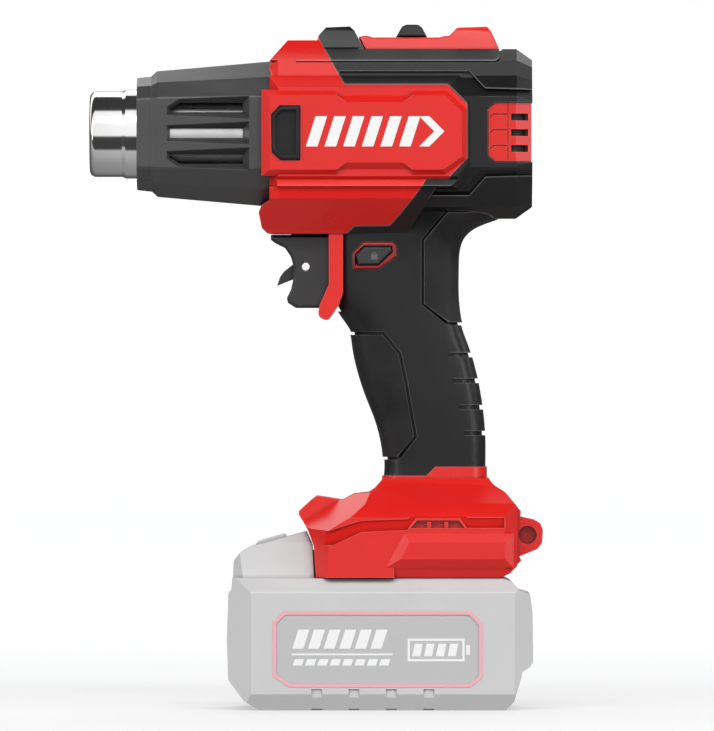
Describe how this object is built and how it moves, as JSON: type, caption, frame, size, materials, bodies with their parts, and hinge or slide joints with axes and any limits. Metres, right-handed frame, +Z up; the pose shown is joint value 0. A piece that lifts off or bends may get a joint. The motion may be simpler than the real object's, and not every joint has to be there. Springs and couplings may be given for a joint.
{
  "type": "heat gun",
  "caption": "Cordless heat gun with pistol grip, slotted heat guard, steel nozzle, sprung trigger, lock button, mode slider and a slide-on battery foot.",
  "frame": {"origin": "under the middle of the overall box, on the surface the battery stands on", "axes": "+Z up, -X the way the nozzle blows, +Y the tool's right side"},
  "size_m": [0.181, 0.0764, 0.2732],
  "materials": {
    "chromed_steel": "polished, heat-tinted near the mouth",
    "steel": "plain sheet and wire",
    "heating_wire": "resistance wire",
    "ceramic": "matt",
    "mica": "layered, slightly glossy",
    "guard_black": "fine moulded texture",
    "red_plastic": "satin moulded",
    "black_plastic": "fine moulded texture",
    "dark_plastic": "satin",
    "grip_rubber": "soft, stippled",
    "inner_plastic": "plain",
    "filter_mesh": "fine woven screen",
    "circuit_board": "lacquered",
    "copper_alloy": "plain",
    "wire_cover": "smooth",
    "lens": "clear",
    "battery_grey": "fine moulded texture",
    "battery_line": "printed",
    "battery_label": "printed film",
    "cell_wrap": "shrink film",
    "screw_steel": "zinc plated"
  },
  "bodies": {
    "housing": {"nozzle_tube": "chromed_steel", "heater_core": "ceramic", "heater_coils": "heating_wire", "mica_sleeve": "mica", "heater_plate": "mica", "thermal_fuse": "steel", "heat_shield": "steel", "heat_guard": "guard_black", "blower_duct": "inner_plastic", "motor": "steel", "motor_mount": "inner_plastic", "front_housing_left": "red_plastic", "front_housing_right": "red_plastic", "rear_housing_left": "black_plastic", "rear_housing_right": "black_plastic", "front_grip_left": "grip_rubber", "front_grip_right": "grip_rubber", "rear_grip_left": "grip_rubber", "rear_grip_right": "grip_rubber", "foot_left": "red_plastic", "foot_right": "red_plastic", "side_bumper_left": "grip_rubber", "side_bumper_right": "grip_rubber", "top_rail": "red_plastic", "mode_board": "circuit_board", "intake_grille": "red_plastic", "dust_screen": "filter_mesh", "housing_screws": "screw_steel", "trigger_spring": "steel", "trigger_switch": "inner_plastic", "lock_bezel_left": "red_plastic", "lock_bezel_right": "red_plastic", "control_board": "circuit_board", "power_leads": "wire_cover", "contact_blades": "copper_alloy", "terminal_block": "inner_plastic", "work_light_lens": "lens", "work_light_board": "circuit_board"},
    "fan": {"fan_impeller": "inner_plastic"},
    "trigger": {"trigger": "dark_plastic", "trigger_pin": "chromed_steel"},
    "trigger_latch": {"trigger_latch": "dark_plastic"},
    "lock_button": {"lock_button": "dark_plastic"},
    "mode_slider": {"mode_slider": "dark_plastic"},
    "battery": {"battery_tub": "battery_grey", "battery_cover": "battery_grey", "latch_spring": "steel", "battery_cells": "cell_wrap", "cell_holder_left": "inner_plastic", "cell_holder_right": "inner_plastic", "bus_strips": "steel", "protection_board": "circuit_board", "battery_contacts": "copper_alloy", "battery_screws": "screw_steel", "label_line_left": "battery_line", "label_line_right": "battery_line", "label_panel_left": "battery_label", "label_panel_right": "battery_label"},
    "battery_latch": {"battery_latch": "battery_grey"}
  },
  "joints": [
    {"name": "fan_spin", "type": "hinge", "parent": "housing", "child": "fan", "pos_m": [0.014, 0, 0.2295], "axis": [1, 0, 0], "continuous": true},
    {"name": "trigger_slide", "type": "slide", "parent": "housing", "child": "trigger", "axis": [1, 0, 0], "range_m": [0, 0.006], "stiffness_N_per_m": 600, "springref_m": -0.004, "deforming": ["trigger_spring"]},
    {"name": "trigger_latch_swing", "type": "hinge", "parent": "trigger", "child": "trigger_latch", "pos_m": [-0.0041, 0, 0.1764], "axis": [0, -1, 0], "range_deg": [0, 20], "stiffness_Nm_per_rad": 0.03, "springref_deg": -17.19},
    {"name": "lock_slide", "type": "slide", "parent": "housing", "child": "lock_button", "axis": [0, 1, 0], "range_m": [0, 0.003]},
    {"name": "mode_slide", "type": "slide", "parent": "housing", "child": "mode_slider", "axis": [1, 0, 0], "range_m": [-0.005, 0.005]},
    {"name": "battery_slide", "type": "slide", "parent": "housing", "child": "battery", "axis": [-1, 0, 0], "range_m": [0, 0.064]},
    {"name": "battery_latch_press", "type": "slide", "parent": "battery", "child": "battery_latch", "axis": [0, 0, -1], "range_m": [0, 0.0025], "stiffness_N_per_m": 800, "springref_m": -0.003, "deforming": ["latch_spring"]}
  ]
}
